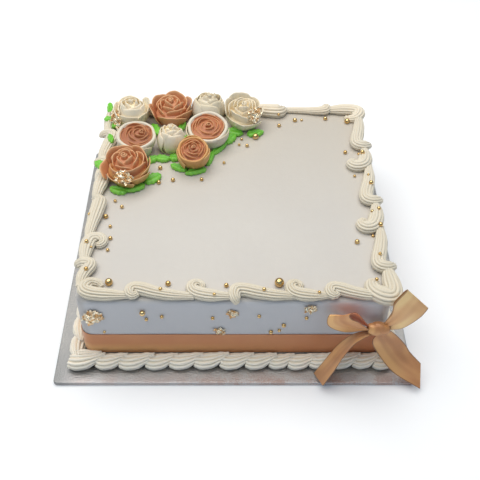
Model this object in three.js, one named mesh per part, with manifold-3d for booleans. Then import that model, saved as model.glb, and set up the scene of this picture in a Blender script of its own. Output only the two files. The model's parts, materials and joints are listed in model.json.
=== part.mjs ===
// A square celebration cake on its foil-covered board, in millimetres, +Z up.
// The origin is the centre of the board's underside, and -Y is the front, where the bow is.
// The cake is iced smooth, with a reverse shell border round its top edge, a shell border
// round its foot, a satin ribbon with a bow, nine piped roses and their leaves in the
// back left corner, and gold sugar pearls and gold leaf on the icing.
import * as THREE from "three";
import { mergeVertices } from "three/addons/utils/BufferGeometryUtils.js";
import Module from "manifold-3d";

// Driving dimensions
const BOARD = { side: 356, thick: 4, corner: 4 };
const CAKE = { side: 298, height: 90, corner: 12, edge: 3 };
const GAP = 0.3;
const CAKE_BASE = BOARD.thick + GAP;
const TOP = BOARD.thick + CAKE.height;
const HALF = CAKE.side / 2;
const RIBBON = { width: 25, low: 20, thick: 0.6 };
const FOOT_SHELL = { reach: 13, height: 19, ridges: 3 };
const SCROLL = { headHalf: 7.8, tailHalf: 4.2, headHigh: 9, tailHigh: 5.2, ridges: 3 };

const wasm = await Module();
wasm.setup();

const finish = (color, roughness, metalness = 0) =>
  new THREE.MeshStandardMaterial({ color, roughness, metalness });
const foil = finish(0xb9bcc0, 0.35, 0.9);
const icing = finish(0xece4d6, 0.6);
const satin = finish(0xc08a4e, 0.35);
const bronze = finish(0xb4754c, 0.55);
const ivory = finish(0xe9e1cf, 0.6);
const twoTone = finish(0xcfa988, 0.6);
const leafGreen = finish(0x5fae44, 0.6);

const cake = new THREE.Group();

function addNode(name, geometry, material) {
  const mesh = new THREE.Mesh(geometry, material);
  mesh.name = name;
  cake.add(mesh);
}

// A closed geometry as a solid that can be joined and cut
function solid(geometry) {
  const bare = geometry.clone();
  bare.deleteAttribute("normal");
  bare.deleteAttribute("uv");
  const merged = mergeVertices(bare, 1e-4);
  return new wasm.Manifold(
    new wasm.Mesh({
      numProp: 3,
      vertProperties: new Float32Array(merged.attributes.position.array),
      triVerts: new Uint32Array(merged.index.array),
    }),
  );
}

function geometryOf(joined) {
  const mesh = joined.getMesh();
  return new THREE.BufferGeometry()
    .setAttribute("position", new THREE.BufferAttribute(mesh.vertProperties, 3))
    .setIndex(new THREE.BufferAttribute(mesh.triVerts, 1));
}

const join = (pieces) => pieces.reduce((all, piece) => all.add(piece));

// A skin over rings that all have the same number of points, closed by a fan at each end.
// Each ring runs anticlockwise seen from the end towards which the rings advance.
function loft(rings) {
  const count = rings[0].length;
  const points = rings.flat();
  const faces = [];
  for (let r = 0; r + 1 < rings.length; r++)
    for (let i = 0; i < count; i++) {
      const a = r * count + i;
      const b = r * count + ((i + 1) % count);
      faces.push(a, b, b + count, a, b + count, a + count);
    }
  const middle = (ring) =>
    ring.reduce((sum, p) => sum.add(p), new THREE.Vector3()).divideScalar(count);
  const first = points.push(middle(rings[0])) - 1;
  const last = points.push(middle(rings.at(-1))) - 1;
  const top = (rings.length - 1) * count;
  for (let i = 0; i < count; i++) {
    const next = (i + 1) % count;
    faces.push(first, next, i, last, top + i, top + next);
  }
  return new THREE.BufferGeometry().setFromPoints(points).setIndex(faces);
}

// The outline of a square with round corners, at height z
function roundedSquare(side, corner, z, steps = 4) {
  const centre = side / 2 - corner;
  const ring = [];
  for (let quarter = 0; quarter < 4; quarter++)
    for (let i = 0; i <= steps; i++) {
      const angle = (quarter + i / steps) * (Math.PI / 2);
      const sx = quarter === 0 || quarter === 3 ? 1 : -1;
      const sy = quarter < 2 ? 1 : -1;
      ring.push(
        new THREE.Vector3(
          sx * centre + corner * Math.cos(angle),
          sy * centre + corner * Math.sin(angle),
          z,
        ),
      );
    }
  return ring;
}

// Turns a shape made for the front side to side 0 front, 1 right, 2 back or 3 left
const SIDES = ["front", "right", "back", "left"];
const toSide = (geometry, side) => geometry.rotateZ((side * Math.PI) / 2);

addNode(
  "board",
  loft([
    roundedSquare(BOARD.side, BOARD.corner, 0, 2),
    roundedSquare(BOARD.side, BOARD.corner, BOARD.thick, 2),
  ]),
  foil,
);

// Sugar pearls on the flat of the top: x, y and radius, as they lie in the picture
const TOP_PEARLS = [
  [-80, 40, 2.4], [-80, 16, 2.4], [-65, 20, 2.3], [-34, 21, 2.1], [-10, 49, 1.7],
  [10, 91, 1.6], [7, 81, 1.6], [16, 79, 2], [26, 94, 3.6], [-124, -13, 1.8],
  [-116, -22, 2], [-131, -37, 2.6], [-125, -51, 1.8], [-123, -68, 2.1], [-124, -84, 1.8],
  [-118, -127, 3.8], [-62, -128, 2.7], [-7, -130, 2.3], [43, -128, 4.6], [123, -73, 2.5],
  [134, 123, 3.3], [126, 67, 2.2], [132, 27, 1.6], [54, 130, 1.6], [54, 116, 2.2],
  [73, 126, 2.5], [81, 127, 1.5], [109, 129, 2.4],
];
// Sugar pearls on the front: x, z and radius
const FRONT_PEARLS = [
  [-86, 79, 2.8], [-83, 69, 1.8], [-68, 73, 1.8], [-20, 71, 1.8], [24, 74, 1.8],
  [69, 71, 1.8], [48, 60, 2.1], [44, 52, 1.7], [36, 49.7, 2.1], [-125, 49.5, 1.5],
];
// Sugar pearls that lie on the piped border of each side: x, y and radius
const BORDER_PEARLS = {
  front: [[-68, -141, 1.8], [-18, -147, 1.5], [28, -142, 1.8], [79, -144, 1.6]],
  right: [[141, 65, 1.7], [143, 57, 2.6], [145, 20, 1.6], [146, 6, 2.4], [151, -33, 2.2],
    [142, -36, 1.8], [150, -55, 2.4], [140, -64, 1.8], [141, -98, 1.8], [134, -128.5, 1.8]],
  back: [],
  left: [[-144, -81, 2], [-139, -86, 1.3], [-140, -116, 2.2], [-147, -40, 1.6]],
};
// Crumpled gold leaf on the front: x, z, width and height
const FRONT_FLAKES = [[-133, 73, 18, 18], [-1, 78, 12, 11], [72, 85, 12, 10], [-13, 51.5, 11, 11]];

const pearl = (x, y, z, radius) =>
  solid(new THREE.IcosahedronGeometry(radius, 0).translate(x, y, z));

// A flake of gold leaf: a fan of uneven peaks on a ragged outline, its middle pressed into the icing
function flake(width, height, lift = 1.4, depth = 1) {
  const corners = 9;
  const ring = (scale, z) =>
    Array.from({ length: corners }, (_, i) => {
      const angle = (i / corners) * 2 * Math.PI;
      const ragged = scale * (0.78 + 0.22 * Math.cos(i * 2.4));
      return new THREE.Vector3(
        (width / 2) * ragged * Math.cos(angle),
        (height / 2) * ragged * Math.sin(angle),
        z + (scale < 1 ? 0.5 * Math.sin(i * 2.9) : 0),
      );
    });
  return loft([ring(0.9999, -depth), ring(1, 0.35), ring(0.6, lift)]);
}

// The ribbon round the cake is one closed band
function band() {
  const outline = (grow) =>
    new THREE.Shape(
      roundedSquare(CAKE.side + 2 * grow, CAKE.corner + grow, 0).map(
        (p) => new THREE.Vector2(p.x, p.y),
      ),
    );
  const shape = outline(GAP + RIBBON.thick);
  shape.holes.push(new THREE.Path(outline(GAP).getPoints().reverse()));
  return new THREE.ExtrudeGeometry(shape, { depth: RIBBON.width, bevelEnabled: false })
    .translate(0, 0, RIBBON.low);
}
addNode("ribbon_band", band(), satin);

// The foot border: one run of shells a side. Each shell swells to a round head and tapers
// to a tail that the next one covers. A section is a ridged quarter round in the corner
// between the board and the ribbon.
const FOOT_BACK = HALF + 2 * GAP + RIBBON.thick;
const SHELL_STEPS = [
  { at: 0.02, size: 0.66 },
  { at: 0.22, size: 1 },
  { at: 0.72, size: 0.84 },
];
function footSection(s, size, phase) {
  const arc = 2 * FOOT_SHELL.ridges;
  const ring = [new THREE.Vector3(s, -FOOT_BACK, CAKE_BASE)];
  for (let i = 0; i <= arc; i++) {
    const angle = (i / arc) * (Math.PI / 2);
    const ridge = size * (i % 2 ? 0.86 : 1.03);
    const slant = phase * 2.2 * Math.sin(angle);
    ring.push(
      new THREE.Vector3(
        s + slant,
        -FOOT_BACK - Math.cos(angle) * ridge * FOOT_SHELL.reach,
        CAKE_BASE + Math.sin(angle) * ridge * FOOT_SHELL.height * (0.9 + 0.1 * size),
      ),
    );
  }
  return ring.reverse();
}
// Where the shells of the front begin, as they were piped; the last is where the run ends
const FRONT_STARTS = [
  -160, -132.5, -109, -83, -59, -34.5, -9, 16, 39, 58, 79.5, 100.5, 122.5, 142.5, 162,
];
const SIDE_SHELLS = 13;
function footRun(starts) {
  const rings = [];
  for (let i = 0; i + 1 < starts.length; i++)
    SHELL_STEPS.forEach(({ at, size }, k) => {
      const pitch = starts[i + 1] - starts[i];
      const uneven = 1 + 0.05 * Math.sin(2.3 * i + k);
      const end = i === 0 && k === 0 ? 0.5 : 1;
      rings.push(footSection(starts[i] + at * pitch, size * uneven * end, k / 3));
    });
  rings.push(footSection(starts.at(-1), 0.5, 0));
  return loft(rings);
}
// The front and back runs take in the corners; the side runs stop just short of them
SIDES.forEach((name, side) => {
  const reach = HALF + 0.2;
  const even = Array.from(
    { length: SIDE_SHELLS + 1 },
    (_, i) => reach * ((2 * i) / SIDE_SHELLS - 1),
  );
  const run = footRun(side % 2 ? even : FRONT_STARTS);
  addNode(`foot_border_${name}`, toSide(run, side), icing);
});

// The top border: reverse shells that curl in towards the middle and out over the edge by
// turns. A stroke is a ridged half round that follows a line of points along the front:
// s along the side, o outwards from the face.
const STROKES = {
  corner: [[-22, -17], [-26, -21], [-33, -21], [-37.5, -14], [-34, -8.5], [-21, -5.8], [6, -5]],
  bend: [[-12, -14.5], [-16, -19.5], [-23, -19], [-29, -12.5], [-30, -5], [-23, -2.4], [-11, -3.4],
    [12, -5]],
  inward: [[10.5, -17], [6.5, -19], [2.4, -15], [4.2, -9], [12, -5.8], [25, -4.4], [42, -5]],
  swirl: [[10, -5.5], [6.5, -4.5], [4.6, -9], [7.5, -13], [15, -12], [27, -8.4], [44, -5.2],
    [64, -4.4]],
  drop: [[6, 1], [4.8, -4.5], [7.4, -10.5], [15, -11], [28, -7.8], [44, -5], [63, -4.4]],
  plain: [[4, -2], [2.5, -6], [7, -9.4], [17, -9], [31, -7.2], [47, -5.4], [63, -4.6]],
};
// What each side is piped with, from its left end: the stroke, where it starts, how much it
// is drawn out along the side, and how much fatter it is than the rest
const RUNS = {
  front: [["corner", -102], ["swirl", -101, 1], ["inward", -41, 1], ["drop", -4, 0.98],
    ["inward", 52, 0.93], ["swirl", 86, 0.9]],
  right: [["bend", -116, 1, 1.25], ["drop", -114, 0.96], ["inward", -57, 1, 1.1], ["drop", -21, 1],
    ["inward", 39, 0.8, 1.1], ["drop", 70, 1]],
  back: [["corner", -111], ["drop", -116, 0.96], ["plain", -60, 0.8, 1.3], ["swirl", -24, 1],
    ["drop", 33, 0.7], ["drop", 72, 0.9]],
  left: [["corner", -102], ["drop", -101, 0.9], ["drop", -50, 0.6], ["plain", -23, 0.6],
    ["plain", 10, 1], ["inward", 68, 0.94, 1.1], ["drop", 102, 0.5]],
};

// A stroke as a solid. With `clear` it is a plain envelope that much larger all round,
// used to cut the neighbouring run back.
function stroke([kind, start, drawn = 1, fat = 1], index, clear = 0) {
  // each stroke lies a hair higher than the last, so no two bases share a plane
  const z = TOP + GAP + 0.02 * index - 2 * clear;
  const path = new THREE.CatmullRomCurve3(
    STROKES[kind].map(([s, o]) => new THREE.Vector3(start + s * drawn, -HALF - o, z)),
  );
  const steps = STROKES[kind].length > 7 ? 7 : 6;
  const rings = [];
  for (let i = 0; i <= steps; i++) {
    const t = i / steps;
    const swell = fat * Math.sin(Math.PI * Math.min(1, 0.3 + 2.6 * t) * 0.5);
    const taper = 1 - t ** 1.5;
    const half = swell * (SCROLL.tailHalf + (SCROLL.headHalf - SCROLL.tailHalf) * taper);
    const high = swell * (SCROLL.tailHigh + (SCROLL.headHigh - SCROLL.tailHigh) * taper);
    const end = i === steps ? 0.7 : 1;
    const at = path.getPointAt(t);
    const along = path.getTangentAt(t);
    const across = new THREE.Vector3(-along.y, along.x, 0).normalize();
    const ring = [];
    for (let j = 0; j <= 2 * SCROLL.ridges; j++) {
      const angle = (j / (2 * SCROLL.ridges)) * Math.PI;
      const ridge = end * (j % 2 && !clear ? 0.84 : 1);
      ring.push(
        at.clone()
          .addScaledVector(across, -Math.cos(angle) * (half * ridge + clear))
          .add(new THREE.Vector3(0, 0, Math.sin(angle) * (high * ridge + 4 * clear))),
      );
    }
    rings.push(ring.reverse());
  }
  return solid(loft(rings));
}
const turned = (shape, side) => shape.rotate([0, 0, side * 90]);
const largest = (shape) => shape.decompose().sort((a, b) => b.volume() - a.volume())[0];

// Roses. A rose is a polar skin: a wall up from its foot, then crests of petals with a
// groove inside each, closing on the bud in the middle.
const ROSES = {
  rose_back_left: {
    at: [-117, 123], radius: 22, high: 31, kind: "tulip", turn: 0.4, tilt: [5, 100], color: ivory,
  },
  rose_back_bronze: {
    at: [-71, 127], radius: 24.5, high: 30, kind: "open", turn: 1.9, tilt: [4, 90], color: bronze,
  },
  rose_back_ivory: {
    at: [-30, 130], radius: 19.5, high: 33, kind: "tulip", turn: 3.1, tilt: [10, 60], color: ivory,
  },
  rose_right_ivory: {
    at: [11, 122], radius: 22.5, high: 32, kind: "open", turn: 4.4, tilt: [6, 300], color: ivory,
  },
  rose_two_tone_right: {
    at: [-28.5, 91], radius: 23.5, high: 28, kind: "drum", turn: 0.9, tilt: [12, 270], color: twoTone,
  },
  rose_two_tone_left: {
    at: [-108.5, 75], radius: 22.5, high: 27, kind: "drum", turn: 2.6, tilt: [8, 290], color: twoTone,
  },
  rose_ivory_bud: {
    at: [-69.5, 74], radius: 15.5, high: 31, kind: "tulip", turn: 5.1, tilt: [6, 90], color: ivory,
  },
  rose_front_bronze: {
    at: [-112.5, 26], radius: 27, high: 33, kind: "open", turn: 3.7, tilt: [5, 240], color: bronze,
  },
  rose_small_bronze: {
    at: [-43.5, 52], radius: 17.5, high: 30, kind: "drum", turn: 1.2, tilt: [18, 270], color: bronze,
  },
};
// For each kind, shares of the radius and height: the wall, then crest and groove in turn.
// The foot of the wall starts below the icing, and is cut off level with it.
const ROSE_WALL = {
  open: [[0.4, -0.2], [0.6, 0.28]],
  drum: [[0.54, -0.2], [0.86, 0.4]],
  tulip: [[0.48, -0.2], [0.84, 0.4]],
};
const ROSE_CRESTS = {
  open: [
    [0.97, 0.6], [0.74, 0.5], [0.79, 0.76], [0.58, 0.62],
    [0.6, 0.88], [0.38, 0.76], [0.36, 0.97], [0.12, 0.88],
  ],
  drum: [[0.97, 0.84], [0.88, 0.8], [0.76, 0.9], [0.64, 0.86], [0.5, 0.96], [0.2, 0.9]],
  tulip: [[0.95, 0.78], [0.84, 0.76], [0.72, 0.92], [0.56, 0.9], [0.36, 1], [0.14, 0.95]],
};
const PETALS = 5;
const ROSE_SIDES = 15;

function rose({ radius, high, kind, turn }) {
  const ring = ([r, h], layer) =>
    Array.from({ length: ROSE_SIDES }, (_, i) => {
      const angle = (i / ROSE_SIDES) * 2 * Math.PI;
      const lobe = layer < 0 ? 0 : Math.cos(PETALS * angle + 2.1 * layer + turn);
      const reach = radius * r * (1 + 0.055 * lobe);
      const lift = high * (h + 0.035 * lobe * (layer >= 0 ? 1 : 0));
      return new THREE.Vector3(
        reach * Math.cos(angle + turn),
        reach * Math.sin(angle + turn),
        lift,
      );
    });
  return loft([
    ...ROSE_WALL[kind].map((share) => ring(share, -1)),
    ...ROSE_CRESTS[kind].map((share, i) => ring(share, Math.floor(i / 2))),
  ]);
}

// Tilts a rose, up to `tilt` degrees from upright towards a bearing, and sets it in its place
function planted(geometry, { at, tilt: [lean, way] }) {
  const bearing = THREE.MathUtils.degToRad(way);
  const axis = new THREE.Vector3(-Math.sin(bearing), Math.cos(bearing), 0);
  return geometry
    .applyMatrix4(new THREE.Matrix4().makeRotationAxis(axis, THREE.MathUtils.degToRad(lean)))
    .translate(at[0], at[1], TOP + GAP);
}

// A lathed envelope just outside a rose, which its leaves are cut back from
function roseClear(spec) {
  const { radius, high, kind } = spec;
  const shares = [...ROSE_WALL[kind], [1, ROSE_CRESTS[kind][0][1]], [1, 1.1]];
  const profile = shares.map(([r, h]) => new THREE.Vector2(radius * r * 1.03 + 0.5, high * h));
  const closed = [new THREE.Vector2(0, profile[0].y), ...profile, new THREE.Vector2(0, high * 1.1)];
  return solid(planted(new THREE.LatheGeometry(closed, 16).rotateX(Math.PI / 2), spec));
}

// Gold leaf on three of the roses: its middle, size, and how it is turned about X and Y
const ROSE_FLAKES = {
  rose_back_left: { at: [-134, 118, 111], size: [13, 17], lean: [0.9, -0.7] },
  rose_right_ivory: { at: [23, 114, 118], size: [13, 16], lean: [0.7, 0.5] },
  rose_front_bronze: { at: [-108, 10, 116], size: [20, 14], lean: [0.75, 0.1] },
};
const roseGold = ({ at, size, lean }, grow = 0) =>
  solid(
    flake(size[0] + 2 * grow, size[1] + 2 * grow, 1.4 + grow, 4 + grow)
      .rotateX(lean[0])
      .rotateY(lean[1])
      .translate(...at),
  );
for (const [name, spec] of Object.entries(ROSES)) {
  const body = solid(planted(rose(spec), spec)).trimByPlane([0, 0, 1], TOP + GAP);
  const gold = ROSE_FLAKES[name];
  addNode(name, geometryOf(gold ? body.add(roseGold(gold)) : body), spec.color);
}

// Leaves: a stem end, a direction, a length and a width. A leaf is a pointed oval with a
// groove down its middle and a raised, wavy edge, lying on the icing and tucked under a rose.
const LEAVES = [
  { at: [-144, 131], turn: 98, long: 19, wide: 7, lift: 9.4 },
  { at: [-138, 119], turn: 178, long: 12, wide: 9, lift: 9.4 },
  { at: [-133, 118], turn: 245, long: 14, wide: 8, lift: 9.4 },
  { at: [-136, 75], turn: 109, long: 15, wide: 7, lift: 9.4 },
  { at: [-134, 31], turn: 152, long: 20, wide: 12, lift: 9.4 },
  { at: [-113, 0], turn: 160, long: 20, wide: 12 },
  { at: [-95, 13], turn: 211, long: 23, wide: 12 },
  { at: [-97, 17], turn: 30, long: 22, wide: 15 },
  { at: [-94, 50], turn: 38, long: 13, wide: 10 },
  { at: [-86, 58], turn: 345, long: 17, wide: 11 },
  { at: [-71, 58], turn: 350, long: 12, wide: 12 },
  { at: [-50, 36], turn: 155, long: 21, wide: 10 },
  { at: [-29, 38], turn: 200, long: 25, wide: 10 },
  { at: [-29, 44], turn: 73, long: 25, wide: 8 },
  { at: [-23, 63], turn: 53, long: 26, wide: 9 },
  { at: [-10, 83], turn: 49, long: 20, wide: 13 },
  { at: [-8, 106], turn: 342, long: 21, wide: 14 },
  { at: [16, 100], turn: 8, long: 20, wide: 12 },
  { at: [-51, 147], turn: 121, long: 16, wide: 10, lift: 9.4 },
  { at: [-60, 103], turn: 80, long: 17, wide: 8, lift: 3 },
  { at: [-86, 95], turn: 112, long: 20, wide: 11, lift: 3 },
  { at: [-58, 68], turn: 48, long: 18, wide: 8, lift: 12 },
];
const LEAF_THICK = 4.6;
const LEAF_STATIONS = [
  { at: 0, wide: 0.45 },
  { at: 0.3, wide: 0.95 },
  { at: 0.62, wide: 0.85 },
  { at: 1, wide: 0.12 },
];
// With `clear` a leaf is a plain envelope that much larger, used to cut its neighbours back
function leafSolid({ at, turn, long, wide, lift = 0 }, clear = 0) {
  const rings = LEAF_STATIONS.map((station, i) => {
    const half = (wide / 2) * station.wide + clear;
    const thick = LEAF_THICK * (i === 3 && !clear ? 0.4 : 1) + clear;
    const wave = clear ? 0 : 0.5 * Math.sin(2.2 * i);
    const section = clear
      ? [[-half, -3], [half, -3], [half, thick], [-half, thick]]
      : [[-half, 0.8 + wave], [-0.8 * half, 0], [0.8 * half, 0], [half, 0.8 - wave],
        [0.62 * half, thick], [0, 0.55 * thick], [-0.62 * half, thick]];
    const reach = station.at * (long + 2 * clear) - clear;
    return section.map(([y, z]) => new THREE.Vector3(reach, y, z));
  });
  return solid(
    loft(rings)
      .rotateZ(THREE.MathUtils.degToRad(turn))
      .translate(at[0], at[1], TOP + GAP + lift),
  );
}

// What has been laid so far is kept as envelopes, and each new piece is cut back from them
const roseEnvelopes = [
  ...Object.values(ROSES).map(roseClear),
  ...Object.values(ROSE_FLAKES).map((gold) => roseGold(gold, 2 * GAP)),
];
const cutBack = (shape, envelopes) =>
  largest(envelopes.reduce((left, envelope) => left.subtract(envelope), shape));

const borders = SIDES.map((name, side) => {
  const run = turned(join(RUNS[name].map((spec, i) => stroke(spec, i))), side);
  const nextSide = (side + 1) % 4;
  const next = [0, 1].map((i) => turned(stroke(RUNS[SIDES[nextSide]][i], i, GAP), nextSide));
  return cutBack(run, [...next, ...roseEnvelopes]);
});

// A leaf lies either on a border, at its lift, or on the flat of the top and clear of the borders
const borderEnvelopes = SIDES.flatMap((name, side) =>
  RUNS[name].map((spec, i) => turned(stroke(spec, i, GAP), side)),
);
const leafEnvelopes = [];
LEAVES.forEach((spec, i) => {
  const beside = spec.lift ? [] : borderEnvelopes;
  const leaf = cutBack(leafSolid(spec), [...roseEnvelopes, ...leafEnvelopes, ...beside]);
  leafEnvelopes.push(leafSolid(spec, GAP));
  addNode(`leaf_${String(i + 1).padStart(2, "0")}`, geometryOf(leaf), leafGreen);
});

// A pearl that would cross a border, a rose or a leaf is moved towards the middle until clear
const laid = join([...borders, ...roseEnvelopes, ...leafEnvelopes]);
function topPearl([x, y, radius]) {
  let share = 1;
  const lay = (grow) => pearl(x * share, y * share, TOP + 0.7 * radius, radius + grow);
  while (lay(GAP).intersect(laid).volume() > 0) share -= 0.01;
  return lay(0);
}

// A pearl on a border is lowered until a good part of it is in the icing, or, where there is
// none under it, moved a little towards the middle of the cake and lowered there
function borderPearl([x, y, radius], run) {
  const whole = pearl(x, y, 0, radius).volume();
  const lowest = TOP + GAP + radius;
  for (let share = 1; share > 0.9; share -= 0.01)
    for (let z = TOP + 1.5 * SCROLL.headHigh; z > lowest; z -= 0.4) {
      const laid = pearl(x * share, y * share, z, radius);
      if (laid.intersect(run).volume() > 0.25 * whole) return laid;
    }
  throw new Error(`no icing under the pearl at ${x}, ${y}`);
}
borders.forEach((run, side) => {
  const pearls = BORDER_PEARLS[SIDES[side]].map((spec) => borderPearl(spec, run));
  addNode(`top_border_${SIDES[side]}`, geometryOf(join([run, ...pearls])), icing);
});

const bodyRings = [
  roundedSquare(CAKE.side, CAKE.corner, CAKE_BASE),
  roundedSquare(CAKE.side, CAKE.corner, TOP - CAKE.edge),
  roundedSquare(CAKE.side - 0.6 * CAKE.edge, CAKE.corner - 0.3 * CAKE.edge, TOP - 0.3 * CAKE.edge),
  roundedSquare(CAKE.side - 2 * CAKE.edge, CAKE.corner - CAKE.edge, TOP),
];
addNode(
  "iced_cake",
  geometryOf(
    join([
      solid(loft(bodyRings)),
      ...TOP_PEARLS.map(topPearl),
      ...FRONT_PEARLS.map(([x, z, r]) => pearl(x, -HALF - 0.55 * r, z, r)),
      ...FRONT_FLAKES.map(([x, z, w, h]) =>
        solid(flake(w, h).rotateX(Math.PI / 2).translate(x, -HALF, z)),
      ),
    ]),
  ),
  icing,
);

// The bow is tied from one ribbon. Each loop or tail is a strip between two edge curves,
// given as a few points along its two selvedges.
function strip({ edges, thick, steps }, clear = 0) {
  const [a, b] = edges.map(
    (edge) => new THREE.CatmullRomCurve3(edge.map((p) => new THREE.Vector3(...p))),
  );
  const rings = [];
  for (let i = 0; i <= steps; i++) {
    const t = i / steps;
    const [pa, pb] = [a.getPoint(t), b.getPoint(t)];
    const along = a.getTangent(t).add(b.getTangent(t)).normalize();
    const across = pb.clone().sub(pa).normalize();
    const out = new THREE.Vector3().crossVectors(across, along).setLength(thick / 2 + clear);
    pa.addScaledVector(across, -clear);
    pb.addScaledVector(across, clear);
    rings.push([
      pa.clone().add(out),
      pb.clone().add(out),
      pb.clone().sub(out),
      pa.clone().sub(out),
    ]);
  }
  return solid(loft(rings));
}

const KNOT = { at: [136.5, -158.7, 66.3], long: 21, round: 6.8 };
const LEFT_LOOP = {
  thick: 0.8,
  steps: 12,
  edges: [
    [[127, -156, 66], [115, -152.5, 68.5], [100, -154, 78], [88.1, -160, 88.4],
      [89.9, -163, 79], [103.6, -164, 69], [127, -159, 64]],
    [[127, -160, 71], [114.8, -164, 93.5], [109, -167, 100.8], [104.8, -168, 97.8],
      [107.3, -168, 92.2], [113.8, -167, 86.8], [127, -162, 69]],
  ],
};
const RIGHT_LOOP = {
  thick: 2.6,
  steps: 6,
  edges: [
    [[141, -157, 71], [145.7, -158.6, 90.3], [145.9, -158.6, 104.3], [155.8, -153, 115.2]],
    [[145, -159, 65], [158.6, -160, 70], [171.5, -159, 83.4], [178.3, -156, 92.4]],
  ],
};
const LEFT_TAIL = {
  thick: 0.8,
  steps: 8,
  edges: [
    [[129, -157.5, 63], [115.9, -161, 59.4], [103.1, -161.5, 42], [86.6, -166, 16], [79.6, -167.6, 6]],
    [[129.5, -163.5, 62.5], [114.5, -172.5, 62], [103.5, -179.6, 50.7], [96.4, -182.4, 32.2],
      [86.6, -186.6, 12]],
  ],
};
const RIGHT_TAIL = {
  thick: 0.8,
  steps: 7,
  edges: [
    [[136, -161, 60], [132.2, -163, 53.6], [135.8, -165.2, 42], [154.9, -174.5, 18], [181.8, -186.1, 6]],
    [[144, -160, 66], [152, -159, 60], [165.6, -158.7, 42], [171.8, -160.9, 32], [182.8, -167.3, 22]],
  ],
};
const knot = (clear) =>
  solid(
    new THREE.CapsuleGeometry(KNOT.round + clear, KNOT.long - 2 * KNOT.round, 3, 9)
      .rotateZ(Math.PI / 2)
      .translate(...KNOT.at),
  );
addNode("bow_knot", geometryOf(knot(0)), satin);
const bowEnvelopes = [knot(GAP)];
Object.entries({
  bow_loop_left: LEFT_LOOP,
  bow_loop_right: RIGHT_LOOP,
  bow_tail_left: LEFT_TAIL,
  bow_tail_right: RIGHT_TAIL,
}).forEach(([name, spec]) => {
  addNode(name, geometryOf(cutBack(strip(spec), bowEnvelopes)), satin);
  bowEnvelopes.push(strip(spec, GAP));
});

export default cake;
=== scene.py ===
import bpy
import json
import random
from math import atan2, cos, exp, hypot, pi, radians, sin, sqrt
from mathutils import Matrix, Vector, noise
from mathutils.bvhtree import BVHTree

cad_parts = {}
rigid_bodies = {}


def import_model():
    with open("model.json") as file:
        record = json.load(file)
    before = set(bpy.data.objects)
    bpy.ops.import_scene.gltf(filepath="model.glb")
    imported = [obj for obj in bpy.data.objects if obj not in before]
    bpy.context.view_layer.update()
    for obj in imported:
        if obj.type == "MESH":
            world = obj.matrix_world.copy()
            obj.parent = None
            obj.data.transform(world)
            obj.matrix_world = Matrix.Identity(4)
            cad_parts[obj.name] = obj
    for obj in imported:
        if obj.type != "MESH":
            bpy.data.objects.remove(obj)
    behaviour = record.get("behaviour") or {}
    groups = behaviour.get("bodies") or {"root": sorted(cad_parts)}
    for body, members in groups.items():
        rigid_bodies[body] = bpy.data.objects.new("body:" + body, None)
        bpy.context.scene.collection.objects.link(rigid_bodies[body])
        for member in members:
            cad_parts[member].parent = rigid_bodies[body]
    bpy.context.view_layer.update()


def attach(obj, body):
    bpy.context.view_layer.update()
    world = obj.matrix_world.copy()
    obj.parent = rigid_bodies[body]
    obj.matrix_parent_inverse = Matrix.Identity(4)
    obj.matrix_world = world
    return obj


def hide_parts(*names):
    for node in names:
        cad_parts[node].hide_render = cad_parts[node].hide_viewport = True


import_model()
mm = 0.001
turn = 2 * pi

# The sizes that the pieces share, in millimetres, as in the part's source
cake = {"side": 298, "low": 4.3, "top": 94, "corner": 12, "edge": 4.5,
        "voxel": 3.5, "topRipple": 0.18, "wallRipple": 0.22}
board = {"side": 356, "thick": 4, "corner": 4, "rim": 0.9, "foot": 0.6}
half = cake["side"] / 2
icingTop = cake["top"]
sideNames = ["front", "right", "back", "left"]
gridSize = 0.01     # of a new grid, in metres, before it is given its shape


def setMode(name):
    bpy.ops.object.mode_set(mode=name)


def clearSelection():
    if bpy.context.mode != "OBJECT":
        setMode("OBJECT")
    bpy.ops.object.select_all(action="DESELECT")


def added(operator, **settings):
    # what one of Blender's add operators makes
    clearSelection()
    operator(**settings)
    return bpy.context.active_object


def pick(obj):
    clearSelection()
    obj.select_set(True)
    bpy.context.view_layer.objects.active = obj


def addModifier(obj, kind, **settings):
    # adds a modifier with these settings and applies it straight away
    pick(obj)
    modifier = obj.modifiers.new(kind.title(), kind)
    for key, value in settings.items():
        setattr(modifier, key, value)
    bpy.ops.object.modifier_apply(modifier=modifier.name)


def joinPieces(objects):
    clearSelection()
    for obj in objects:
        obj.select_set(True)
    bpy.context.view_layer.objects.active = objects[0]
    bpy.ops.object.join()
    return bpy.context.active_object


def marks(mesh, *names):
    # new values for each vertex, which the finishes read by these names
    for name in names:
        mesh.attributes.new(name, "FLOAT", "POINT")
    return [mesh.attributes[name].data for name in names]


def gridOf(along, across):
    # a flat grid whose vertices run across first and then along
    return added(bpy.ops.mesh.primitive_grid_add, x_subdivisions=across, y_subdivisions=along,
                 size=gridSize)


def gridShares(along, across, start=0):
    # the number of each vertex of such a grid, and its shares along and across
    for j in range(along + 1):
        for i in range(across + 1):
            yield start + j * (across + 1) + i, j / along, i / across


def finishPiece(obj, name, finish=None, nodes=(), angle=None):
    # the object ends at the origin, with its place in its mesh
    pick(obj)
    bpy.ops.object.transform_apply()
    if angle:
        bpy.ops.object.shade_smooth_by_angle(angle=radians(angle))
    else:
        bpy.ops.object.shade_smooth()
    obj.name = name
    obj.data.name = name
    if finish:
        obj.data.materials.clear()
        obj.data.materials.append(finishes[finish])
    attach(obj, "root")
    if nodes:
        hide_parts(*nodes)
    return obj


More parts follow.
